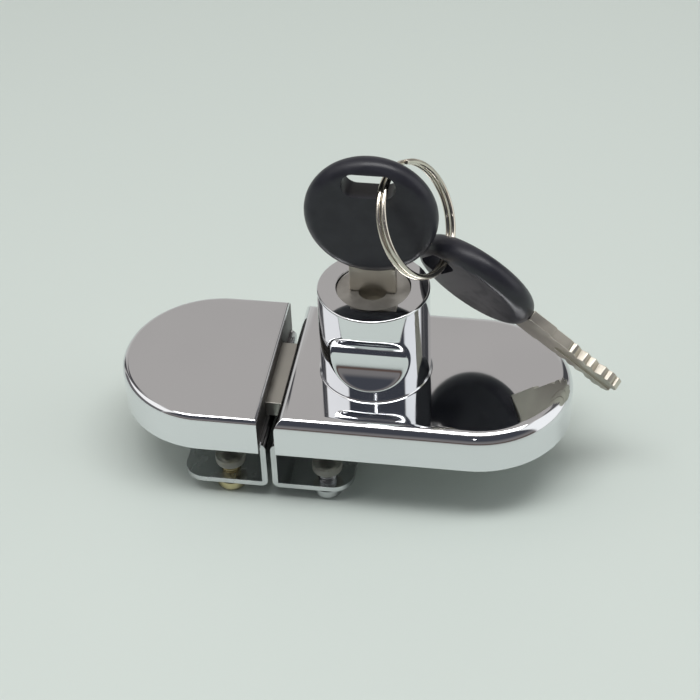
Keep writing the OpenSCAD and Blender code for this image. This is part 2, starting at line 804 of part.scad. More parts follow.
module bolt() {
    color(steel) translate([0, 0, bolt_z]) difference() {
        union() {
            translate([bolt_tip, -tongue_w / 2, 0]) cube([bolt_front - bolt_tip + cut, tongue_w, bolt_t]);
            translate([bolt_front, -bolt_half, 0]) cube([bolt_back - bolt_front, 2 * bolt_half, bolt_t]);
        }
        for (x = [-bolt_travel, 0]) translate([x, 0, -cut]) cylinder(r = window_r, h = bolt_t + 2 * cut);
        translate([-bolt_travel, -window_r, -cut]) cube([bolt_travel, 2 * window_r, bolt_t + 2 * cut]);
        translate([-bolt_travel / 2, -drive_r, -cut]) cylinder(r = pin_slot, h = bolt_t + 2 * cut);
        translate([-bolt_travel / 2 - pin_slot, -drive_r, -cut])
            cube([2 * pin_slot, drive_r, bolt_t + 2 * cut]);
    }
}

// Keys and ring

module key_blade() {
    color(nickel) blade_form();
}

module key_bow() {
    color(black) bow_form();
}

module split_ring() {
    color(steel) on_ring() translate([ring_r, 0, 0]) rotate([0, 0, 180 - cross_at])
        polyhedron(ring_points, tube_faces(ring_n, ring_sides), convexity = 8);
}

module spare_key_blade() {
    color(nickel) on_spare() blade_form();
}

module spare_key_bow() {
    color(black) on_spare() bow_form();
}

// Strike half

module strike_cover() {
    roof = strike_top - cover_roof;
    color(chrome) on_strike() difference() {
        union() {
            difference() {
                cover_form(strike_len, strike_top, strike_round, 0);
                cover_hollow(strike_len, roof);
            }
            at_posts(strike_far_post) post(roof);
        }
        at_posts(strike_far_post) post_hole();
        bolt_mouth();
    }
}

// Slot for the bolt through the gap wall of the strike
module bolt_mouth() {
    half = tongue_w / 2 + strike_clear;
    high = bolt_top + strike_clear;
    translate([-cut, -half, -cut]) cube([cover_wall + 2 * cut, 2 * half, high + cut]);
}

module strike_bracket() {
    color(steel) on_strike_web() bracket_form(strike_len, strike_leg, strike_clamp_in, strike_far_post);
}

module strike_bracket_screws() {
    color(steel) on_strike() at_posts(strike_far_post) small_screw();
}

module strike_glass_pad() {
    color(rubber) on_strike_web() pad_form(strike_len);
}

// Clamps

module lock_front_clamp_screw() {
    color(steel) at_lock_clamp(-1) clamp_screw_form();
}

module lock_front_pressure_pad() {
    color(nylon) at_lock_clamp(-1) pressure_pad_form();
}

module lock_back_clamp_screw() {
    color(steel) at_lock_clamp(1) clamp_screw_form();
}

module lock_back_pressure_pad() {
    color(nylon) at_lock_clamp(1) pressure_pad_form();
}

module strike_front_clamp_screw() {
    color(zinc) at_strike_clamp(-1) clamp_screw_form();
}

module strike_front_pressure_pad() {
    color(nylon) at_strike_clamp(-1) pressure_pad_form();
}

module strike_back_clamp_screw() {
    color(zinc) at_strike_clamp(1) clamp_screw_form();
}

module strike_back_pressure_pad() {
    color(nylon) at_strike_clamp(1) pressure_pad_form();
}

lock_cover();
lock_bracket();
lock_bracket_screws();
lock_glass_pad();
cylinder_housing();
cylinder_retaining_ring();
cylinder_plug();
wafers();
wafer_springs();
drive_cam();
cam_screw();
bolt();
key_blade();
key_bow();
split_ring();
spare_key_blade();
spare_key_bow();
strike_cover();
strike_bracket();
strike_bracket_screws();
strike_glass_pad();
lock_front_clamp_screw();
lock_front_pressure_pad();
lock_back_clamp_screw();
lock_back_pressure_pad();
strike_front_clamp_screw();
strike_front_pressure_pad();
strike_back_clamp_screw();
strike_back_pressure_pad();
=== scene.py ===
"""Dresses the glass cabinet door lock: castings, keys on a split ring, brackets, bolt and clamps.

Sizes are in millimetres and angles in degrees, in the part's own frame. The origin is on the key
axis at the seat of the lock half, +X runs to the round end of that half and +Z out along the key.
"""

from __future__ import annotations

import json
import logging
import math
from dataclasses import dataclass
from enum import Enum
from functools import partial
from typing import Any, Callable, Iterable, Sequence

import bmesh
import bpy
from bmesh.types import BMEdge, BMesh, BMFace, BMVert
from bpy.types import Material, Node, NodeSocket, NodeTree, Object
from mathutils import Matrix, Vector

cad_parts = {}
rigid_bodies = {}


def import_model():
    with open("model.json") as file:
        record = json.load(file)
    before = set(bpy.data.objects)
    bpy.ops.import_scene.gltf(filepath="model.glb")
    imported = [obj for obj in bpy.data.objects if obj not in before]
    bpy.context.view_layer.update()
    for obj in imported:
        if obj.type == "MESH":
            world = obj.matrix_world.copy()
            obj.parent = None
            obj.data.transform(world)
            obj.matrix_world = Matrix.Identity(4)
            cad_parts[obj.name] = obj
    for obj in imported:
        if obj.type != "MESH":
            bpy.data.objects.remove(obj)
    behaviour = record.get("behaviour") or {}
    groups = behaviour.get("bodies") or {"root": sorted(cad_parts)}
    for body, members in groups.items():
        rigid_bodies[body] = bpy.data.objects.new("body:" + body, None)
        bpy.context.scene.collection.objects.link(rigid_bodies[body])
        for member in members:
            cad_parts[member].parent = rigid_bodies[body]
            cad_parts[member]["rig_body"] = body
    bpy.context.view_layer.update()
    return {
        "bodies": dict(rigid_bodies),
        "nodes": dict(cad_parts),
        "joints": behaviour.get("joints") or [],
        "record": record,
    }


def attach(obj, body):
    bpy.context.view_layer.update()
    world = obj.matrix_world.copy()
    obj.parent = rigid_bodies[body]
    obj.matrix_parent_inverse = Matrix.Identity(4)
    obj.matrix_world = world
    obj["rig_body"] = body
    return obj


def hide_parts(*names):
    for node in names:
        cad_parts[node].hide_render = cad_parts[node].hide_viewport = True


Pair = tuple[float, float]
Triple = tuple[float, float, float]
Tool = Callable[[BMesh], Any]

LOG = logging.getLogger("glass_lock")
MM = 0.001
ORIGIN = (0, 0, 0)
Z_AXIS = (0, 0, 1)
FULL_TURN = 360.0

SAME_PLACE = 1e-7  # metres between points that count as one
CUT_SLACK = 1e-8  # metres between a plane and the points that lie in it
WELD = 2e-6  # metres between corners that are merged in a copy of a node
FLAT = 0.6  # degrees between triangles that make up one flat face
PAST = 1.0  # how far a tool stands out of the solid that it cuts
SHARP = 40.0  # turn past which an edge of a casting or a screw is broken
NORMAL_WEIGHT = 60  # how far large faces rule the normals beside them

SLOT_Z = 57.5921  # height of the ring's slot in the key in the lock
RING_R = 11.6  # mean radius of the split ring


class Way(Enum):
    """Direction in which a half of the lock runs from the gap between the two halves."""

    LOCK = 1.0
    STRIKE = -1.0


class Light(Enum):
    """Kinds of lamp shape used in the studio."""

    PANEL = "RECTANGLE"
    ROUND = "DISK"


# Mesh helpers


def mm(x: float, y: float, z: float) -> Vector:
    """Return a point given in millimetres as metres."""
    return Vector((x, y, z)) * MM


def verts_of(made: dict[str, Any]) -> list[BMVert]:
    """Return the vertices that an operator made."""
    return [g for g in made["geom"] if isinstance(g, BMVert)]


def shift(bm: BMesh, verts: Iterable[BMVert], x: float = 0, y: float = 0, z: float = 0) -> None:
    """Move vertices by a distance along each axis."""
    bmesh.ops.translate(bm, vec=mm(x, y, z), verts=verts)


def swing(bm: BMesh, verts: Iterable[BMVert], angle: float, axis: str) -> None:
    """Turn vertices about one of the axes."""
    turn = Matrix.Rotation(math.radians(angle), 3, axis)
    bmesh.ops.rotate(bm, cent=ORIGIN, matrix=turn, verts=verts)


def extrude(bm: BMesh, faces: Sequence[BMFace], y: float = 0, z: float = 0) -> None:
    """Extrude flat faces into a closed solid."""
    far = verts_of(bmesh.ops.extrude_face_region(bm, geom=faces, use_keep_orig=True))
    shift(bm, far, y=y, z=z)


def add_box(bm: BMesh, low: Triple, high: Triple) -> None:
    """Add a box between two corners.

    Args:
        bm: mesh to add to.
        low: lowest corner.
        high: highest corner.
    """
    first, last = Vector(low), Vector(high)
    verts = bmesh.ops.create_cube(bm, size=1.0)["verts"]
    bmesh.ops.scale(bm, vec=(last - first) * MM, verts=verts)
    bmesh.ops.translate(bm, vec=(first + last) * 0.5 * MM, verts=verts)


def add_rod(bm: BMesh, low: float, high: float, radius: Pair, steps: int = 48) -> list[BMVert]:
    """Add an upright rod or cone on the Z axis.

    Args:
        bm: mesh to add to.
        low: height of its lower face.
        high: height of its upper face.
        radius: its radius at the lower and at the upper face.
        steps: sides of the rod.

    Returns:
        The vertices of the rod.
    """
    lower, upper = (r * MM for r in radius)
    verts = bmesh.ops.create_cone(
        bm, cap_ends=True, segments=steps, radius1=lower, radius2=upper, depth=(high - low) * MM
    )["verts"]
    shift(bm, verts, z=(low + high) / 2)
    return verts


def add_d_prism(
    bm: BMesh, start: float, straight: float, half: float, low: float, high: float, steps: int
) -> None:
    """Add a prism with a straight edge and a half-round end, as both covers and their hollows have.

    Args:
        bm: empty mesh.
        start: place of the straight edge along X.
        straight: length of the straight sides.
        half: half of the width, which is the radius of the round end.
        low: height of the lower face.
        high: height of the upper face.
        steps: steps round the half circle.
    """
    bmesh.ops.create_circle(bm, cap_ends=True, segments=2 * steps, radius=half * MM)
    bmesh.ops.bisect_plane(
        bm, geom=[*bm.verts, *bm.edges, *bm.faces], dist=CUT_SLACK, plane_co=ORIGIN,
        plane_no=(1, 0, 0), clear_inner=True,
    )
    rim = [e for e in bm.edges if len(e.link_faces) == 1]
    chord = [e for e in rim if all(abs(v.co.x) < SAME_PLACE for v in e.verts)]
    outer = verts_of(bmesh.ops.extrude_edge_only(bm, edges=chord))
    shift(bm, outer, x=-straight)
    bmesh.ops.dissolve_edges(bm, edges=chord, use_verts=False)
    flat = [f for f in bm.faces if any(v in outer for v in f.verts)]
    shift(bm, [v for f in flat for v in f.verts], x=start + straight, z=low)
    extrude(bm, flat, z=high - low)


def add_turned(bm: BMesh, outline: Sequence[Pair], steps: int, closed: bool = False) -> None:
    """Turn an outline round the Z axis.

    Args:
        bm: empty mesh.
        outline: (radius, height) points.
        steps: steps round the turn.
        closed: join the last point to the first.
    """
    verts = [bm.verts.new(mm(r, 0, z)) for r, z in outline]
    edges = [bm.edges.new(pair) for pair in zip(verts, verts[1:])]
    if closed:
        edges.append(bm.edges.new((verts[-1], verts[0])))
    bmesh.ops.spin(
        bm, geom=verts + edges, cent=ORIGIN, axis=Z_AXIS, dvec=ORIGIN, angle=math.tau, steps=steps,
        use_merge=True, use_duplicate=False,
    )
    bmesh.ops.remove_doubles(bm, verts=bm.verts, dist=SAME_PLACE)


def arc(middle: Pair, radius: float, start: float, end: float, steps: int) -> list[Pair]:
    """Return points along an arc of an outline.

    Args:
        middle: centre of the arc.
        radius: radius of the arc.
        start: first angle.
        end: last angle.
        steps: number of steps.

    Returns:
        The points, both ends included.
    """
    angles = [math.radians(start + (end - start) * i / steps) for i in range(steps + 1)]
    return [(middle[0] + radius * math.cos(a), middle[1] + radius * math.sin(a)) for a in angles]


def as_object(name: str, bm: BMesh, recalc: bool = True) -> Object:
    """Turn a finished bmesh into an object at the origin.

    Args:
        name: name of the object.
        bm: mesh, which is freed.
        recalc: point all faces outwards first.

    Returns:
        The new object.
    """
    if recalc:
        bmesh.ops.recalc_face_normals(bm, faces=bm.faces)
    mesh = bpy.data.meshes.new(name)
    bm.to_mesh(mesh)
    bm.free()
    made = bpy.data.objects.new(name, mesh)
    bpy.context.scene.collection.objects.link(made)
    return made


def settle(piece: Object) -> None:
    """Apply a piece's modifiers to its mesh."""
    bpy.context.view_layer.update()
    graph = bpy.context.evaluated_depsgraph_get()
    mesh = bpy.data.meshes.new_from_object(piece.evaluated_get(graph))
    old = piece.data
    piece.modifiers.clear()
    piece.data = mesh
    mesh.name = piece.name
    bpy.data.meshes.remove(old)


def carve(piece: Object, tools: Iterable[Tool]) -> None:
    """Cut tool solids out of a piece.

    Args:
        piece: object to change.
        tools: functions that each add one closed solid to an empty mesh.
    """
    used = []
    for i, tool in enumerate(tools):
        bm = bmesh.new()
        tool(bm)
        cutter = as_object(f"tool_{i}", bm)
        change = piece.modifiers.new(f"cut_{i}", "BOOLEAN")
        change.operation = "DIFFERENCE"
        change.solver = "EXACT"
        change.object = cutter
        used.append(cutter)
    settle(piece)
    for cutter in used:
        mesh = cutter.data
        bpy.data.objects.remove(cutter)
        bpy.data.meshes.remove(mesh)


@dataclass(frozen=True)
class Edge:
    """How a piece's sharp edges are broken: how wide, past which turn, and in how many steps."""

    width: float = 0.0
    sharp: float = 35.0
    steps: int = 2

    def soften(self, piece: Object) -> None:
        """Break a piece's sharp edges, and weight its normals so that flat faces stay flat.

        Args:
            piece: object to finish.
        """
        for face in piece.data.polygons:
            face.use_smooth = True
        if self.width > 0:
            bevel = piece.modifiers.new("edges", "BEVEL")
            bevel.width = self.width * MM
            bevel.segments = self.steps
            bevel.limit_method = "ANGLE"
            bevel.angle_limit = math.radians(self.sharp)
            bevel.profile = 0.5
            bevel.material = -1
            bevel.miter_outer = "MITER_ARC"
        even = piece.modifiers.new("normals", "WEIGHTED_NORMAL")
        even.mode = "FACE_AREA_WITH_ANGLE"
        even.weight = NORMAL_WEIGHT
        even.keep_sharp = True
        settle(piece)


def join_meshes(piece: Object, *others: Object) -> None:
    """Join other objects into a piece, keeping their normals.

    Args:
        piece: object that keeps its name.
        *others: objects that go into it.
    """
    chosen = [piece, *others]
    with bpy.context.temp_override(active_object=piece, selected_editable_objects=chosen):
        bpy.ops.object.join()


# Shader helpers


class Nodes:
    """Adds and joins the nodes of a material, a world or a node group."""

    def __init__(self, tree: NodeTree) -> None:
        """Keep the tree and start with no nodes."""
        self.tree = tree
        tree.nodes.clear()

    def add(self, kind: str, **values: Any) -> Node:
        """Add a node and set its properties and unlinked inputs.

        Args:
            kind: the node's type name.
            **values: properties of the node, or sockets given as in_NAME.

        Returns:
            The node.
        """
        made = self.tree.nodes.new(kind)
        for key, value in values.items():
            if key.startswith("in_"):
                made.inputs[key.removeprefix("in_").replace("_", " ")].default_value = value
            else:
                setattr(made, key, value)
        return made

    def join(self, value: Any, into: NodeSocket) -> None:
        """Link a socket to an input, or set the input to a plain value."""
        if isinstance(value, NodeSocket):
            self.tree.links.new(value, into)
        else:
            into.default_value = value

    def maths(self, what: str, first: Any, second: Any) -> NodeSocket:
        """Add a Math node.

        Args:
            what: its operation.
            first: first value or socket.
            second: second value or socket.

        Returns:
            Its output.
        """
        made = self.add("ShaderNodeMath", operation=what)
        self.join(first, made.inputs[0])
        self.join(second, made.inputs[1])
        return made.outputs[0]

    def spread(self, value: NodeSocket, span: Pair, onto: Pair = (0.0, 1.0)) -> NodeSocket:
        """Map a value from one range to another with soft ends.

        Args:
            value: socket to map.
            span: ends of the range that it comes from.
            onto: results at those ends.

        Returns:
            The mapped output.
        """
        made = self.add("ShaderNodeMapRange", interpolation_type="SMOOTHSTEP")
        self.join(value, made.inputs["Value"])
        ends = ("From Min", "From Max", "To Min", "To Max")
        for name, number in zip(ends, (*span, *onto)):
            made.inputs[name].default_value = number
        return made.outputs["Result"]

    def blend(self, share: NodeSocket, first: Any, second: Any) -> NodeSocket:
        """Mix two colours by a share.

        Args:
            share: mask, 0 for the first and 1 for the second.
            first: colour or socket.
            second: colour or socket.

        Returns:
            The mixed colour.
        """
        made = self.add("ShaderNodeMix", data_type="RGBA")
        sockets = {socket.identifier: socket for socket in (*made.inputs, *made.outputs)}
        self.join(share, sockets["Factor_Float"])
        for name, value in (("A_Color", first), ("B_Color", second)):
            self.join((*value, 1.0) if isinstance(value, tuple) else value, sockets[name])
        return sockets["Result_Color"]

    def texture(self, kind: str, place: NodeSocket, scale: Any, **values: Any) -> Node:
        """Add a texture.

        Args:
            kind: the node's type name.
            place: coordinates that it reads.
            scale: its scale, as a value or a socket.
            **values: its other properties and inputs.

        Returns:
            The node.
        """
        made = self.add(kind, **values)
        self.join(place, made.inputs["Vector"])
        self.join(scale, made.inputs["Scale"])
        return made


class Skin(Nodes):
    """The nodes of a material: one Principled shader and the coordinates of the piece."""

    def __init__(self, name: str, **values: float) -> None:
        """Start the material.

        Args:
            name: name of the material.
            **values: the shader's plain inputs, given as in_NAME.
        """
        self.material = bpy.data.materials.new(name)
        self.material.use_nodes = True
        super().__init__(self.material.node_tree)
        out = self.add("ShaderNodeOutputMaterial")
        shader = self.add("ShaderNodeBsdfPrincipled", **values)
        self.join(shader.outputs[0], out.inputs["Surface"])
        self.inputs = shader.inputs
        self.place = self.add("ShaderNodeTexCoord").outputs["Object"]


class Group(Nodes):
    """The nodes of a shader node group that reads a place on a piece, at a scale."""

    def __init__(self, name: str, scale: str, outputs: Sequence[str]) -> None:
        """Start the group.

        Args:
            name: name of the group.
            scale: name of its input for the scale.
            outputs: names of the masks and values that it puts out.
        """
        super().__init__(bpy.data.node_groups.new(name, "ShaderNodeTree"))
        sockets = [("Vector", "INPUT", "NodeSocketVector"), (scale, "INPUT", "NodeSocketFloat")]
        sockets += [(label, "OUTPUT", "NodeSocketFloat") for label in outputs]
        for label, way, kind in sockets:
            self.tree.interface.new_socket(name=label, in_out=way, socket_type=kind)
        given = self.add("NodeGroupInput").outputs
        self.place, self.scale = given["Vector"], given[scale]
        self.out = self.add("NodeGroupOutput").inputs


@dataclass(frozen=True)
class HandlingMarks:
    """The marks that fingers and cloths leave: soft blotches and fine dust specks."""

    blotch_span: Pair = (0.38, 0.68)
    speck_scale: float = 1400.0
    speck_span: Pair = (0.06, 0.16)

    def build(self) -> NodeTree:
        """Build the node group.

        Returns:
            The group, with a mask of blotches and one of specks.
        """
        n = Group("handling_marks", "Blotch Scale", ("Blotch", "Speck"))
        cloud = n.texture(
            "ShaderNodeTexNoise", n.place, n.scale,
            in_Detail=4.0, in_Roughness=0.55, in_Distortion=0.6,
        )
        n.join(n.spread(cloud.outputs["Fac"], self.blotch_span), n.out["Blotch"])
        dust = n.texture("ShaderNodeTexVoronoi", n.place, self.speck_scale, feature="F1")
        n.join(n.spread(dust.outputs["Distance"], self.speck_span, (1.0, 0.0)), n.out["Speck"])
        return n.tree


@dataclass(frozen=True)
class FineGrain:
    """The fine lines that rolling, turning or a mould leave, and a slow tone across them."""

    slow: float = 0.13
    tone_span: Pair = (0.3, 0.7)

    def build(self) -> NodeTree:
        """Build the node group.

        Returns:
            The group, with the height of the lines and the slow tone.
        """
        n = Group("metal_grain", "Scale", ("Height", "Tone"))
        lines = n.texture("ShaderNodeTexNoise", n.place, n.scale, in_Detail=6.0, in_Roughness=0.7)
        n.join(lines.outputs["Fac"], n.out["Height"])
        slow_scale = n.maths("MULTIPLY", n.scale, self.slow)
        slow = n.texture("ShaderNodeTexNoise", n.place, slow_scale, in_Detail=2.0)
        n.join(n.spread(slow.outputs["Fac"], self.tone_span), n.out["Tone"])
        return n.tree


@dataclass
class Effects:
    """The node groups that the finishes share."""

    handling: NodeTree
    grain: NodeTree


# Finishes


@dataclass(frozen=True)
class Surface:
    """A surface of two tones, with a fine grain and the marks of handling.

    Fields give its two tones, its roughness where clean and where handled, the stretch, scale and
    depth of its grain, the scale of the blotches on it, the share of dust in its roughness, the
    height of a full bump in metres, and the values that are the same all over it.
    """

    tone: Triple
    shade: Triple
    rough: Pair
    stretch: Triple = (1.0, 1.0, 1.0)
    grain: float = 900.0
    depth: float = 0.02
    blotch: float = 90.0
    dust: float = 0.0
    bump: float = 0.0002
    metallic: float = 0.0
    clear: float = 0.0
    gloss: float = 0.5
    ior: float = 1.5

    def make(self, name: str, effects: Effects) -> Material:
        """Build the material.

        Args:
            name: name of the material.
            effects: shared node groups.

        Returns:
            The material.
        """
        n = Skin(
            name, in_Metallic=self.metallic, in_IOR=self.ior, in_Transmission_Weight=self.clear,
            in_Specular_IOR_Level=self.gloss,
        )
        turn = n.add("ShaderNodeMapping", in_Scale=self.stretch)
        n.join(n.place, turn.inputs["Vector"])
        marks = n.add("ShaderNodeGroup", node_tree=effects.handling, in_Blotch_Scale=self.blotch)
        n.join(n.place, marks.inputs["Vector"])
        lines = n.add("ShaderNodeGroup", node_tree=effects.grain, in_Scale=self.grain)
        n.join(turn.outputs["Vector"], lines.inputs["Vector"])
        n.join(n.blend(lines.outputs["Tone"], self.tone, self.shade), n.inputs["Base Color"])
        specks = n.maths("MULTIPLY", marks.outputs["Speck"], self.dust)
        dull = n.maths("MAXIMUM", marks.outputs["Blotch"], specks)
        n.join(n.spread(dull, (0.0, 1.0), self.rough), n.inputs["Roughness"])
        bump = n.add("ShaderNodeBump", in_Strength=self.depth, in_Distance=self.bump)
        n.join(lines.outputs["Height"], bump.inputs["Height"])
        n.join(bump.outputs["Normal"], n.inputs["Normal"])
        return n.material


@dataclass(frozen=True)
class Metal(Surface):
    """A bare or plated metal, with the lines of its making and a little dust."""

    dust: float = 0.6
    metallic: float = 1.0


@dataclass(frozen=True)
class Plastic(Surface):
    """A moulded plastic, with the texture of its mould and the shine that fingers rub into it."""

    grain: float = 2600.0
    depth: float = 0.08
    blotch: float = 120.0


class Finish(Enum):
    """Every finish, named as the record's material slots are, and the painted shade on the walls
    inside the gap.
    """

    CHROME_PLATE = Metal(
        (0.80, 0.81, 0.83), (0.77, 0.78, 0.80), (0.035, 0.075), grain=260, depth=0.006, blotch=70
    )
    # Painted shade: a dark, rough metal on the gap walls, standing in for the shadow that fills the
    # gap.
    DULL_CASTING = Metal((0.11, 0.105, 0.10), (0.085, 0.08, 0.078), (0.45, 0.62), depth=0.14)
    BRACKET_STEEL = Metal(
        (0.66, 0.67, 0.68), (0.56, 0.57, 0.58), (0.16, 0.30), stretch=(1.0, 0.08, 1.0), depth=0.10
    )
    BOLT_STEEL = Metal(
        (0.53, 0.52, 0.475), (0.48, 0.47, 0.43), (0.28, 0.36), stretch=(0.08, 1.0, 1.0), depth=0.08
    )
    SCREW_STEEL = Metal((0.60, 0.61, 0.62), (0.48, 0.49, 0.50), (0.20, 0.36), depth=0.06)
    YELLOW_ZINC = Metal((0.66, 0.58, 0.33), (0.52, 0.49, 0.36), (0.20, 0.36), depth=0.06)
    CYLINDER_BRASS = Metal((0.70, 0.52, 0.22), (0.60, 0.44, 0.19), (0.22, 0.36), depth=0.08)
    SPRING_STEEL = Metal((0.50, 0.50, 0.51), (0.40, 0.40, 0.41), (0.24, 0.38), depth=0.06)
    SATIN_NICKEL = Metal(
        (0.54, 0.525, 0.49), (0.42, 0.405, 0.375), (0.42, 0.58), depth=0.16, grain=2200.0
    )
    KEY_NICKEL = Metal(
        (0.66, 0.62, 0.54), (0.54, 0.505, 0.44), (0.30, 0.44), stretch=(1.0, 1.0, 0.12), depth=0.10
    )
    RING_NICKEL = Metal((0.74, 0.69, 0.60), (0.62, 0.58, 0.51), (0.10, 0.24), depth=0.03)
    BLACK_PLASTIC = Plastic(
        (0.0185, 0.0188, 0.026), (0.0245, 0.0248, 0.033), (0.30, 0.42), gloss=0.36
    )
    WHITE_NYLON = Plastic(
        (0.66, 0.65, 0.59), (0.58, 0.57, 0.51), (0.28, 0.42), grain=1600.0, clear=0.8
    )
    CLEAR_PAD = Plastic((0.74, 0.79, 0.77), (0.68, 0.74, 0.72), (0.28, 0.42), clear=0.55)

    @property
    def slot(self) -> str:
        """Return the name of its material and slot."""
        return self.name.lower()


class Workshop:
    """Holds the frame and the finished materials, and puts each dressed piece on its body."""

    def __init__(self, frame: dict[str, Any]) -> None:
        """Make the shared effects and every finish.

        Args:
            frame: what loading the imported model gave.
        """
        self.frame = frame
        effects = Effects(HandlingMarks().build(), FineGrain().build())
        self.skins = {f: f.value.make(f.slot, effects) for f in Finish}

    def coat(self, piece: Object, finish: Finish) -> None:
        """Give a piece its finish, whose material bears the slot's name."""
        piece.data.materials.clear()
        piece.data.materials.append(self.skins[finish])
        finish.slot

    def paint(self, node: str, finish: Finish) -> None:
        """Give a node of the frame its finish and keep its shape."""
        self.coat(self.frame["nodes"][node], finish)

    def place(self, piece: Object, finish: Finish, body: str, node: str) -> None:
        """Give a piece its finish and its body.

        Args:
            piece: finished object.
            finish: its material.
            body: body that it rides on.
            node: node of the frame that it replaces.
        """
        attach(piece, body)
        self.coat(piece, finish)
        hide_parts(node)
        LOG.info("%s: %d faces on %s", piece.name, len(piece.data.polygons), body)

    def eased(self, node: str, finish: Finish, width: float, *tools: Tool) -> None:
        """Dress a copy of a node with its edges broken, as on a pressed or machined piece.

        Args:
            node: node of the frame to copy.
            finish: its material.
            width: width of the broken edges.
            *tools: functions that each add one solid to cut out of the copy first.
        """
        held = self.frame["nodes"][node]
        bm = bmesh.new()
        bm.from_mesh(held.data)
        bmesh.ops.remove_doubles(bm, verts=bm.verts, dist=WELD)
        bmesh.ops.dissolve_limit(bm, angle_limit=math.radians(FLAT), verts=bm.verts, edges=bm.edges)
        piece = as_object(f"{node}_eased", bm, recalc=False)
        if tools:
            carve(piece, tools)
        Edge(width).soften(piece)
        self.place(piece, finish, held["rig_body"], node)


# Castings


@dataclass(frozen=True)
class Cover:
    """One of the two chrome castings, drawn from its gap edge at x = 0 to its round end.

    With a gap_break, the upper edge of the gap wall has a small rounding of its own. Without one,
    the large rounding of the top runs along it too.
    """

    name: str
    body: str
    node: str
    way: Way
    length: float
    top: float
    edge_round: float
    edge: Edge
    gap_x: float
    mouth: float
    mouth_top: float
    far_post: float
    gap_break: float = 0.0
    width: float = 40.0
    wall: float = 2.0
    roof: float = 1.8
    rim: float = 0.3
    plate_top: float = 1.8
    slide: float = 0.15
    near_post: float = 6.2
    post_y: float = 15.4
    post_r: float = 2.3
    post_sink: float = 0.5
    steps: int = 96
    hollow_steps: int = 64
    round_steps: int = 14
    break_steps: int = 8
    wall_slack: float = 0.02
    wall_facing: float = 0.99

    @property
    def straight(self) -> float:
        """Return the length of the straight sides."""
        return self.length - self.width / 2

    @property
    def inner_half(self) -> float:
        """Return half of the width of the hollow."""
        return self.width / 2 - self.wall

    def shell(self) -> Object:
        """Build the casting with its rounded rim, hollow and bolt slot.

        Returns:
            The casting, in the frame of the part.
        """
        bm = bmesh.new()
        add_d_prism(bm, 0.0, self.straight, self.width / 2, self.rim, self.top, self.steps)
        high = self.top * MM
        crown = [e for e in bm.edges if all(abs(v.co.z - high) < SAME_PLACE for v in e.verts)]
        if self.gap_break > 0:
            crown = [e for e in crown if not all(abs(v.co.x) < SAME_PLACE for v in e.verts)]
        bmesh.ops.bevel(
            bm, geom=crown, offset=self.edge_round * MM, offset_type="OFFSET", profile=0.5,
            segments=self.round_steps, affect="EDGES", material=-1, clamp_overlap=False,
        )
        piece = as_object(self.name, bm)
        plate = partial(self.opening, half=self.inner_half, high=self.plate_top + self.slide)
        bolt = partial(self.opening, half=self.mouth / 2, high=self.mouth_top)
        carve(piece, (self.hollow, plate, bolt))
        if self.gap_break > 0:
            carve(piece, (self.gap_edge,))
        self.turn(piece)
        return piece

    def hollow(self, bm: BMesh) -> None:
        """Add the tool for the hollow under the roof."""
        long, high = self.straight - self.wall, self.top - self.roof
        add_d_prism(bm, self.wall, long, self.inner_half, -PAST, high, self.hollow_steps)

    def opening(self, bm: BMesh, half: float, high: float) -> None:
        """Add the tool for an opening in the gap wall, as the bracket plate and the bolt need."""
        add_box(bm, (-PAST, -half, -PAST), (self.wall + PAST, half, high))

    def gap_edge(self, bm: BMesh) -> None:
        """Add the tool that rounds the upper edge of a plain gap wall."""
        r, high = self.gap_break, self.top + PAST
        bend = arc((r, self.top - r), r, 90, 180, self.break_steps)
        outline = [(-PAST, high), (r, high), *bend, (-PAST, self.top - r)]
        corners = [bm.verts.new(mm(x, -self.width, z)) for x, z in outline]
        face = bmesh.ops.contextual_create(bm, geom=corners)["faces"]
        extrude(bm, face, y=2 * self.width)

    def turn(self, piece: Object) -> None:
        """Bring a piece drawn from the gap edge into the frame of the part."""
        bm = bmesh.new()
        bm.from_mesh(piece.data)
        bmesh.ops.scale(bm, vec=(self.way.value, 1.0, 1.0), verts=bm.verts)
        shift(bm, bm.verts, x=self.gap_x)
        bmesh.ops.recalc_face_normals(bm, faces=bm.faces)
        bm.to_mesh(piece.data)
        bm.free()

    def posts(self) -> Object:
        """Build the screw posts under the roof.

        Returns:
            The posts, in the frame of the part.
        """
        bm = bmesh.new()
        high, radius = self.top - self.roof + self.post_sink, (self.post_r, self.post_r)
        near, far = self.near_post, self.far_post
        for x, y in ((near, -self.post_y), (near, self.post_y), (far, 0.0)):
            shift(bm, add_rod(bm, self.plate_top, high, radius), x, y)
        made = as_object(f"{self.name}_posts", bm)
        self.turn(made)
        return made

    def dress(self, shop: Workshop, piece: Object, *others: Object) -> None:
        """Break the edges of the casting, join its other forms to it, plate it and give its gap
        wall a painted shade.

        Args:
            shop: finishes and frame.
            piece: the casting.
            *others: finished forms that are cast in one with it.
        """
        self.edge.soften(piece)
        join_meshes(piece, *others, self.posts())
        shop.place(piece, Finish.CHROME_PLATE, self.body, self.node)
        # The faces of the gap wall take the painted shade, a dark colour for the shadow inside the
        # gap.
        piece.data.materials.append(shop.skins[Finish.DULL_CASTING])
        for face in piece.data.polygons:
            in_wall = abs(face.center.x - self.gap_x * MM) < self.wall_slack * MM
            if in_wall and abs(face.normal.x) > self.wall_facing:
                face.material_index = 1


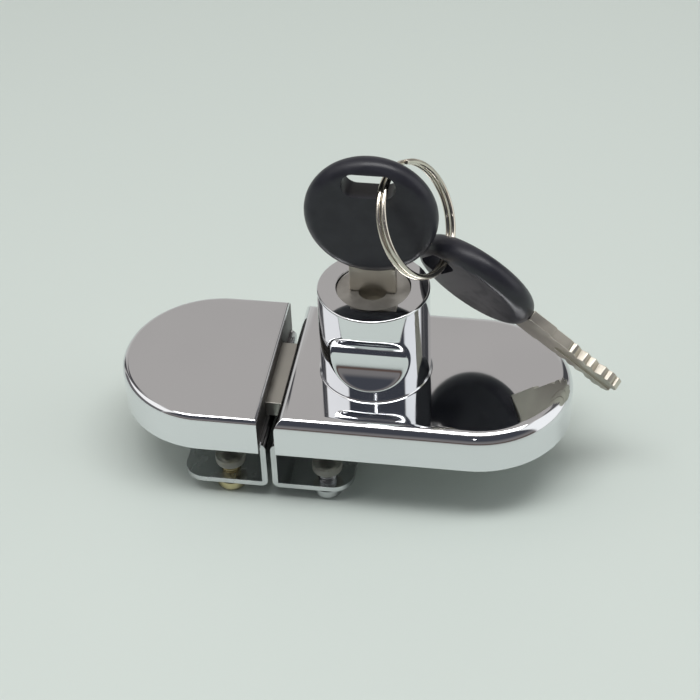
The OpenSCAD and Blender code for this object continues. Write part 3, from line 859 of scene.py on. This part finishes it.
@dataclass(frozen=True)
class Boss:
    """The round boss on the lock casting, with a finger scoop in front and one behind."""

    radius: float = 11.6
    top: float = 31.0
    foot: float = 9.5
    sink: float = 0.25
    top_round: float = 0.4
    foot_round: float = 0.45
    bore: float = 7.3
    counterbore: float = 7.7
    flange: float = 27.4
    pocket: float = 9.45
    pocket_top: float = 9.6
    pocket_deep: float = 6.0
    pocket_steps: int = 96
    scoop_depth: float = 3.4
    scoop_r: float = 7.8
    scoop_z: float = 19.2
    scoop_edge: float = 0.7
    skin: float = 0.01
    steps: int = 256
    rows: int = 120
    foot_steps: int = 5
    top_steps: int = 8
    edge: Edge = Edge(0.16, 28.0, 3)

    def shell(self) -> Object:
        """Build the boss with its bore and scoops.

        Returns:
            The boss as its own closed solid, sunk a little into the roof of the casting.
        """
        low, foot_r = self.foot - self.sink, self.radius + self.foot_round
        start, end = self.foot + self.foot_round, self.top - self.top_round
        outline = [(foot_r, low), (foot_r, self.foot)]
        outline += arc((foot_r, start), self.foot_round, 270, 180, self.foot_steps)[1:]
        rows = range(1, self.rows)
        outline += [(self.radius, start + (end - start) * i / self.rows) for i in rows]
        outline += arc((self.radius - self.top_round, end), self.top_round, 0, 90, self.top_steps)
        outline += [
            (self.counterbore, self.top), (self.counterbore, self.flange), (self.bore, self.flange),
            (self.bore, self.pocket_top), (self.pocket, self.pocket_top), (self.pocket, low),
        ]
        bm = bmesh.new()
        add_turned(bm, outline, self.steps, closed=True)
        self.press_scoops(bm)
        piece = as_object("lock_boss", bm)
        self.edge.soften(piece)
        return piece

    def press_scoops(self, bm: BMesh) -> None:
        """Press both scoops into the wall: round hollows that lie along X, with a rounded edge."""
        middle = self.radius - self.scoop_depth + self.scoop_r
        for vert in bm.verts:
            x, y, z = vert.co / MM
            span = self.scoop_r**2 - (z - self.scoop_z) ** 2
            if span <= 0 or math.hypot(x, y) < self.radius - self.skin:
                continue
            floor = middle - math.sqrt(span)
            near = max(1.0 - abs(abs(y) - floor) / self.scoop_edge, 0.0)
            deep = min(abs(y), floor) - near * near * self.scoop_edge / 4
            vert.co.y = math.copysign(deep, y) * MM

    def clear_roof(self, bm: BMesh) -> None:
        """Add the tool that opens the roof of the casting under the boss."""
        low, radius = self.foot - self.pocket_deep, (self.pocket, self.pocket)
        add_rod(bm, low, self.foot + PAST, radius, steps=self.pocket_steps)


@dataclass(frozen=True)
class LockHalf:
    """The lock casting: cover and boss in one piece."""

    cover: Cover = Cover(
        "lock_casting", "lock_body", "lock_cover", Way.LOCK, length=60.0, top=9.5,
        edge_round=3.0, edge=Edge(0.14, SHARP), gap_x=-18.5, mouth=19.9, mouth_top=5.7,
        far_post=52.0,
    )
    boss: Boss = Boss()

    def build(self, shop: Workshop) -> None:
        """Build the casting, join the boss to it and plate it."""
        piece = self.cover.shell()
        carve(piece, (self.boss.clear_roof,))
        self.cover.dress(shop, piece, self.boss.shell())


@dataclass(frozen=True)
class StrikeHalf:
    """The strike casting."""

    cover: Cover = Cover(
        "strike_casting", "strike", "strike_cover", Way.STRIKE, length=32.5, top=9.2,
        edge_round=1.5, edge=Edge(0.12, SHARP), gap_x=-22.0, gap_break=0.8, mouth=20.3,
        mouth_top=5.9, far_post=22.5,
    )

    def build(self, shop: Workshop) -> None:
        """Build the casting and plate it."""
        self.cover.dress(shop, self.cover.shell())


# Keys and ring


@dataclass(frozen=True)
class Hanging:
    """Where the split ring hangs from the key, and where the spare key hangs from the ring."""

    ring_seat: Triple = (3.1, 0.0, -0.2)
    ring_turn: Triple = (30.0, 59.0, 16.0)
    spare_at: float = 176.0
    spare_seat: Triple = (2.5, 0.0, 0.2)
    spare_turn: Triple = (138.0, -54.0, 36.0)

    @staticmethod
    def turned(turn: Triple) -> Matrix:
        """Return the turn about X, then Y, then Z."""
        x, y, z = (Matrix.Rotation(math.radians(a), 4, axis) for a, axis in zip(turn, "XYZ"))
        return z @ y @ x

    @staticmethod
    def in_slot(seat: Triple) -> Vector:
        """Return a place given from the middle of the slot in the key in the lock."""
        return mm(seat[0], seat[1], SLOT_Z + seat[2])

    def ring(self) -> Matrix:
        """Return the frame of the ring: its wire in the key's slot, its middle along +X."""
        return Matrix.Translation(self.in_slot(self.ring_seat)) @ self.turned(self.ring_turn)

    def spare(self) -> Matrix:
        """Return the move that takes a key from the lock to its place on the ring."""
        middle = Matrix.Translation(mm(RING_R, 0, 0))
        along = middle @ self.turned((0.0, 0.0, -self.spare_at)) @ middle.inverted()
        seat = Matrix.Translation(-self.in_slot(self.spare_seat))
        return self.ring() @ along @ self.turned(self.spare_turn) @ seat


@dataclass(frozen=True)
class KeyBow:
    """The moulded head of a key: a disc with a round rim, a flat foot and a slot for the ring."""

    diameter: float = 27.0
    thick: float = 5.2
    foot_z: float = 36.5
    middle_z: float = 49.1921
    slot_w: float = 11.0
    slot_h: float = 5.4
    slot_steps: int = 64
    tang_w: float = 7.04
    tang_t: float = 2.24
    tang_len: float = 9.02
    steps: int = 128
    rim_steps: int = 20
    edge: Edge = Edge(0.45, 38.0, 4)

    def build(self, name: str) -> Object:
        """Build the bow where it stands on the key in the lock.

        Args:
            name: name of the piece.

        Returns:
            The bow.
        """
        r, t = self.diameter / 2, self.thick / 2
        rim = arc((r - t, 0.0), t, 90, -90, self.rim_steps)
        bm = bmesh.new()
        add_turned(bm, [(0.0, t), *rim, (0.0, -t)], self.steps)
        swing(bm, bm.verts, 90, "X")
        shift(bm, bm.verts, z=self.middle_z)
        piece = as_object(name, bm)
        carve(piece, (self.below_foot, self.slot, self.tang))
        self.edge.soften(piece)
        return piece

    def below_foot(self, bm: BMesh) -> None:
        """Add the tool that cuts the flat foot."""
        r = self.diameter
        add_box(bm, (-r, -r, self.foot_z - r), (r, r, self.foot_z))

    def slot(self, bm: BMesh) -> None:
        """Add the tool for the ring's slot: a flat bar with round ends, through the bow."""
        disc = bmesh.ops.create_circle(
            bm, cap_ends=True, segments=self.slot_steps, radius=self.slot_h / 2 * MM
        )["verts"]
        apart = (self.slot_w - self.slot_h) / 2
        for v in disc:
            v.co.x += math.copysign(apart, v.co.x) * MM if abs(v.co.x) > SAME_PLACE else 0.0
        extrude(bm, list(bm.faces), z=4 * self.thick)
        shift(bm, bm.verts, z=-2 * self.thick)
        swing(bm, bm.verts, 90, "X")
        shift(bm, bm.verts, z=SLOT_Z)

    def tang(self, bm: BMesh) -> None:
        """Add the tool for the pocket that holds the blade's tang."""
        w, t = self.tang_w / 2, self.tang_t / 2
        add_box(bm, (-w, -t, self.foot_z - PAST), (w, t, self.foot_z + self.tang_len))


@dataclass(frozen=True)
class SplitRing:
    """The two-turn ring of round wire, with a crossing from one turn to the other."""

    wire: float = 1.05
    pitch: float = 1.28
    cross_at: float = 23.0
    cross_arc: float = 30.0
    end_gap: float = 15.0
    step: float = 3.75
    sides: int = 14
    edge: Edge = Edge(0.12, 50.0)

    def rise(self, angle: float) -> float:
        """Return the height of the wire at an angle along it."""
        u = min(max((angle - FULL_TURN) / self.cross_arc + 0.5, 0.0), 1.0)
        return self.pitch * (u * u * (3 - 2 * u) - 0.5)

    def build(self, hanging: Hanging) -> Object:
        """Sweep the wire round its two turns, one short spin at a time.

        Args:
            hanging: where the ring hangs.

        Returns:
            The ring, in the frame of the part.
        """
        bm = bmesh.new()
        wire = bmesh.ops.create_circle(
            bm, cap_ends=False, segments=self.sides, radius=self.wire / 2 * MM
        )["verts"]
        swing(bm, wire, 90, "X")
        shift(bm, wire, x=RING_R, z=self.rise(0.0))
        swing(bm, wire, self.end_gap, "Z")
        last = list(bm.edges)
        for i in range(round(2 * (FULL_TURN - self.end_gap) / self.step)):
            angle = self.end_gap + i * self.step
            made = bmesh.ops.spin(
                bm, geom=last, cent=ORIGIN, axis=Z_AXIS, angle=math.radians(self.step), steps=1,
                dvec=mm(0, 0, self.rise(angle + self.step) - self.rise(angle)),
                use_merge=False, use_duplicate=False,
            )
            last = [g for g in made["geom_last"] if isinstance(g, BMEdge)]
        bmesh.ops.holes_fill(bm, edges=bm.edges, sides=self.sides)
        crossing = hanging.turned((0.0, 0.0, FULL_TURN / 2 - self.cross_at))
        seat = hanging.ring() @ Matrix.Translation(mm(RING_R, 0, 0)) @ crossing
        bmesh.ops.transform(bm, matrix=seat, verts=bm.verts)
        piece = as_object("split_ring_wire", bm)
        self.edge.soften(piece)
        return piece


@dataclass(frozen=True)
class KeySet:
    """The key in the lock, the spare key and the ring that joins them."""

    bow: KeyBow = KeyBow()
    ring: SplitRing = SplitRing()
    hanging: Hanging = Hanging()
    blade_edge: float = 0.12

    def build(self, shop: Workshop) -> None:
        """Build both bows and the ring, and dress the blades."""
        shop.place(self.bow.build("key_bow_moulding"), Finish.BLACK_PLASTIC, "key", "key_bow")
        spare = self.bow.build("spare_key_bow_moulding")
        spare.data.transform(self.hanging.spare())
        shop.place(spare, Finish.BLACK_PLASTIC, "spare_key", "spare_key_bow")
        shop.place(self.ring.build(self.hanging), Finish.RING_NICKEL, "ring", "split_ring")
        for node in ("key_blade", "spare_key_blade"):
            shop.eased(node, Finish.KEY_NICKEL, self.blade_edge)


# Clamps


@dataclass(frozen=True)
class ClampScrew:
    """A clamp screw under a leg: domed head with a cross recess, and a thread up to its pad."""

    head_r: float = 3.3
    head_h: float = 2.4
    head_top: float = -10.9
    head_steps: int = 48
    dome: float = 1.1
    dome_steps: int = 8
    edge: Edge = Edge(0.15, SHARP)
    recess: Triple = (4.0, 0.9, 1.3)
    arms: Pair = (45.0, 135.0)
    tip: float = -5.9
    core: float = 1.64
    core_sink: float = 0.2
    core_steps: int = 32
    ridge: Pair = (1.57, 1.97)
    ridge_half: float = 0.294
    ridge_start: float = 0.5
    pitch: float = 0.7
    turn_steps: int = 24

    @property
    def head_low(self) -> float:
        """Return the height of the head's lower face."""
        return self.head_top - self.head_h

    def build(self, name: str, x: float, y: float) -> Object:
        """Build the screw at its place.

        Args:
            name: name of the piece.
            x: place along X.
            y: place along Y.

        Returns:
            The screw.
        """
        low, high = self.head_low, self.head_top
        dome = arc((self.head_r - self.dome, low + self.dome), self.dome, 270, 360, self.dome_steps)
        bm = bmesh.new()
        add_turned(bm, [(0.0, low), *dome, (self.head_r, high), (0.0, high)], self.head_steps)
        piece = as_object(name, bm)
        carve(piece, [partial(self.arm, angle=angle) for angle in self.arms])
        self.edge.soften(piece)
        shank = as_object(f"{name}_shank", self.shank())
        Edge().soften(shank)
        join_meshes(piece, shank)
        piece.data.transform(Matrix.Translation(mm(x, y, 0)))
        return piece

    def arm(self, bm: BMesh, angle: float) -> None:
        """Add the tool for one arm of the cross recess."""
        long, wide, deep = self.recess
        low = self.head_low
        add_box(bm, (-long / 2, -wide / 2, low - PAST), (long / 2, wide / 2, low + deep))
        swing(bm, bm.verts, angle, "Z")

    def shank(self) -> BMesh:
        """Sweep the ridge of the thread round the core of the screw.

        Returns:
            The shank, on the Z axis.
        """
        bm = bmesh.new()
        low = self.head_top - self.core_sink
        add_rod(bm, low, self.tip, (self.core, self.core), steps=self.core_steps)
        (root, crest), half = self.ridge, self.ridge_half
        z = self.head_top + self.ridge_start
        section = ((root, z - half), (crest, z), (root, z + half))
        corners = [bm.verts.new(mm(r, 0, h)) for r, h in section]
        sides = [bm.edges.new(pair) for pair in zip(corners, corners[1:] + corners[:1])]
        steps = int((self.tip - z - half) / self.pitch * self.turn_steps)
        bmesh.ops.spin(
            bm, geom=corners + sides, cent=ORIGIN, axis=Z_AXIS,
            dvec=mm(0, 0, self.pitch / self.turn_steps), angle=math.tau * steps / self.turn_steps,
            steps=steps, use_merge=False, use_duplicate=False,
        )
        bmesh.ops.holes_fill(bm, edges=bm.edges, sides=len(corners))
        return bm


@dataclass(frozen=True)
class Clamps:
    """The four clamp screws and their pressure pads."""

    screw: ClampScrew = ClampScrew()
    halves: tuple[tuple[str, float, Finish], ...] = (
        ("lock", -8.55, Finish.SCREW_STEEL), ("strike", -29.35, Finish.YELLOW_ZINC),
    )
    sides: tuple[tuple[str, float], ...] = (("front", -15.0), ("back", 15.0))
    pad_edge: float = 0.25

    def build(self, shop: Workshop) -> None:
        """Build every screw and dress every pad."""
        for half, x, finish in self.halves:
            for side, y in self.sides:
                node = f"{half}_{side}_clamp_screw"
                piece = self.screw.build(f"{node}_threaded", x, y)
                shop.place(piece, finish, f"{half}_{side}_clamp", node)
                shop.eased(f"{half}_{side}_pressure_pad", Finish.WHITE_NYLON, self.pad_edge)


# Brackets, bolt and cylinder


@dataclass(frozen=True)
class SheetAndBolt:
    """The bent brackets, the bolt and the small pieces that keep the shape of their nodes."""

    sheet_edge: float = 0.15
    bolt_edge: float = 0.25
    plug_edge: float = 0.2
    plug_top: float = 30.4
    mouth_r: Pair = (2.5, 2.9)
    mouth_y: float = -0.9
    mouth_deep: float = 3.6
    mouth_proud: float = 0.02
    mouth_steps: int = 64
    kept: tuple[tuple[str, Finish], ...] = (
        ("cylinder_housing", Finish.CYLINDER_BRASS),
        ("cylinder_retaining_ring", Finish.SPRING_STEEL),
        ("wafers", Finish.CYLINDER_BRASS),
        ("wafer_springs", Finish.SPRING_STEEL),
        ("drive_cam", Finish.SCREW_STEEL),
        ("cam_screw", Finish.SCREW_STEEL),
    )

    def keyway_mouth(self, bm: BMesh) -> None:
        """Add the tool for the flared mouth of the keyway in the face of the plug."""
        high = self.plug_top + self.mouth_proud
        cone = add_rod(bm, high - self.mouth_deep, high, self.mouth_r, steps=self.mouth_steps)
        shift(bm, cone, y=self.mouth_y)

    def build(self, shop: Workshop) -> None:
        """Dress the pressed and machined pieces."""
        for half in ("lock", "strike"):
            shop.eased(f"{half}_bracket", Finish.BRACKET_STEEL, self.sheet_edge)
            shop.eased(f"{half}_glass_pad", Finish.CLEAR_PAD, self.sheet_edge)
            shop.paint(f"{half}_bracket_screws", Finish.SCREW_STEEL)
        shop.eased("bolt", Finish.BOLT_STEEL, self.bolt_edge)
        shop.eased("cylinder_plug", Finish.SATIN_NICKEL, self.plug_edge, self.keyway_mouth)
        for node, finish in self.kept:
            shop.paint(node, finish)


# Studio


@dataclass(frozen=True)
class Lamp:
    """One lamp of the studio: where it stands, what it points at, its size and its power."""

    name: str
    place: Triple
    aim: Triple
    size: Pair
    watts: float
    shape: Light = Light.PANEL

    def build(self) -> None:
        """Hang the lamp."""
        data = bpy.data.lights.new(self.name, "AREA")
        data.shape = self.shape.value
        data.size, data.size_y = (s * MM for s in self.size)
        data.energy = self.watts
        lamp = bpy.data.objects.new(self.name, data)
        lamp.location = mm(*self.place)
        ray = mm(*self.aim) - mm(*self.place)
        lamp.rotation_euler = ray.to_track_quat("-Z", "Y").to_euler()
        bpy.context.scene.collection.objects.link(lamp)


@dataclass(frozen=True)
class Panel:
    """A patch of the room that the chrome mirrors.

    Fields give its span round the room, from the camera's side towards +X, its span in height as
    the sine of the elevation, its tone, and the softness of its upright and level edges.
    """

    turn: Pair
    rise: Pair
    tone: Triple = (0.07, 0.07, 0.075)
    soft_turn: float = 3.0
    soft_rise: float = 0.03

    def mask(self, n: Nodes, turn: NodeSocket, rise: NodeSocket) -> NodeSocket:
        """Add the nodes for the patch's mask.

        Args:
            n: nodes of the world.
            turn: angle round the room, in radians.
            rise: sine of the elevation.

        Returns:
            The mask, 1 inside the patch.
        """
        start, end, soft = (math.radians(a) for a in (*self.turn, self.soft_turn))
        across = self.between(n, turn, (start, end), soft)
        return n.maths("MULTIPLY", across, self.between(n, rise, self.rise, self.soft_rise))

    @staticmethod
    def between(n: Nodes, value: NodeSocket, ends: Pair, soft: float) -> NodeSocket:
        """Return a mask that is 1 where a value lies between two soft ends."""
        low, high = ((end - soft, end + soft) for end in ends)
        return n.maths("MULTIPLY", n.spread(value, low), n.spread(value, high, (1.0, 0.0)))


@dataclass(frozen=True)
class Studio:
    """The pale floor, the soft light and the camera at the photograph's angle."""

    floor_z: float = -13.32
    floor_half: float = 3000.0
    floor_tones: tuple[Triple, Triple] = ((0.63, 0.70, 0.66), (0.65, 0.715, 0.675))
    floor_rough: float = 0.55
    floor_cloud: float = 6.0
    wall_tones: tuple[Triple, Triple] = ((0.62, 0.62, 0.60), (0.46, 0.44, 0.425))
    wall_rise: Pair = (0.0, 0.6)
    eye: Triple = (53.163, -313.013, 285.013)
    right: Triple = (0.98721, 0.15598, -0.03315)
    up: Triple = (-0.07644, 0.64534, 0.76007)
    back: Triple = (0.13995, -0.74781, 0.64900)
    lens: float = 102.63
    sensor: float = 36.0
    clip: Pair = (0.01, 20.0)
    lamps: tuple[Lamp, ...] = (
        Lamp("overhead_softbox", (10, -60, 620), (0, -20, 0), (680, 190), 2.7),
        Lamp("catch_light", (38.0, -307.0, 297.0), (0, 0, 10), (22, 22), 0.016, Light.ROUND),
    )
    panels: tuple[Panel, ...] = (
        Panel((-51, 72), (-0.2, 0.94), (0.060, 0.064, 0.078)),
        Panel((-51, 72), (-0.4, 0.44), (0.20, 0.19, 0.19), soft_rise=0.14),
        Panel((-51, 72), (0.02, 0.13), (0.105, 0.07, 0.058), soft_rise=0.05),
        Panel((-118, -51), (-0.2, 0.86), (1.10, 1.09, 1.08)),
        Panel((-118, -51), (-0.2, 0.44), (0.15, 0.145, 0.15)),
        Panel((72, 118), (-0.2, 0.86), (1.09, 1.10, 1.10)),
        Panel((-130, -121), (-0.2, 0.80)),
        Panel((-150, -130), (0.60, 0.74)),
        Panel((121, 130), (-0.2, 0.80)),
        Panel((130, 152), (0.58, 0.74)),
        Panel((141, 159), (0.08, 0.60)),
    )

    def build(self) -> None:
        """Build the whole studio."""
        self.floor()
        self.world()
        for lamp in self.lamps:
            lamp.build()
        self.camera()
        bpy.context.scene.view_settings.view_transform = "Standard"

    def camera(self) -> None:
        """Set up the camera."""
        data = bpy.data.cameras.new("photo_camera")
        data.sensor_fit = "HORIZONTAL"
        data.sensor_width = self.sensor
        data.lens = self.lens
        data.clip_start, data.clip_end = self.clip
        camera = bpy.data.objects.new("photo_camera", data)
        turn = Matrix((self.right, self.up, self.back)).transposed().to_4x4()
        camera.matrix_world = Matrix.Translation(mm(*self.eye)) @ turn
        bpy.context.scene.collection.objects.link(camera)
        bpy.context.scene.camera = camera

    def floor(self) -> None:
        """Lay the pale floor under the lowest screw heads."""
        bm = bmesh.new()
        bmesh.ops.create_grid(bm, x_segments=1, y_segments=1, size=self.floor_half * MM)
        shift(bm, bm.verts, z=self.floor_z)
        floor = as_object("pale_floor", bm, recalc=False)
        n = Skin("pale_floor", in_Roughness=self.floor_rough)
        cloud = n.texture("ShaderNodeTexNoise", n.place, self.floor_cloud, in_Detail=2.0)
        n.join(n.blend(cloud.outputs["Fac"], *self.floor_tones), n.inputs["Base Color"])
        floor.data.materials.append(n.material)

    def world(self) -> None:
        """Light the room: a grey wall behind, with lit and dim panels round it."""
        world = bpy.data.worlds.new("studio")
        bpy.context.scene.world = world
        world.use_nodes = True
        n = Nodes(world.node_tree)
        out = n.add("ShaderNodeOutputWorld")
        sky = n.add("ShaderNodeBackground", in_Strength=1.0)
        n.join(sky.outputs[0], out.inputs["Surface"])
        place = n.add("ShaderNodeTexCoord")
        parts = n.add("ShaderNodeSeparateXYZ")
        n.join(place.outputs["Generated"], parts.inputs[0])
        front = n.maths("MULTIPLY", parts.outputs["Y"], -1.0)
        turn, rise = n.maths("ARCTAN2", parts.outputs["X"], front), parts.outputs["Z"]
        room = n.blend(n.spread(rise, self.wall_rise), *self.wall_tones)
        for panel in self.panels:
            room = n.blend(panel.mask(n, turn, rise), room, panel.tone)
        n.join(room, sky.inputs["Color"])


def main() -> None:
    """Build and dress every piece of the lock in order, and note its size."""
    logging.basicConfig(level=logging.INFO, format="%(name)s %(message)s")
    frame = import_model()
    shop = Workshop(frame)
    Studio().build()
    for assembly in (LockHalf(), StrikeHalf(), KeySet(), Clamps(), SheetAndBolt()):
        assembly.build(shop)
        LOG.info("%s done", type(assembly).__name__)


if __name__ == "__main__":
    main()
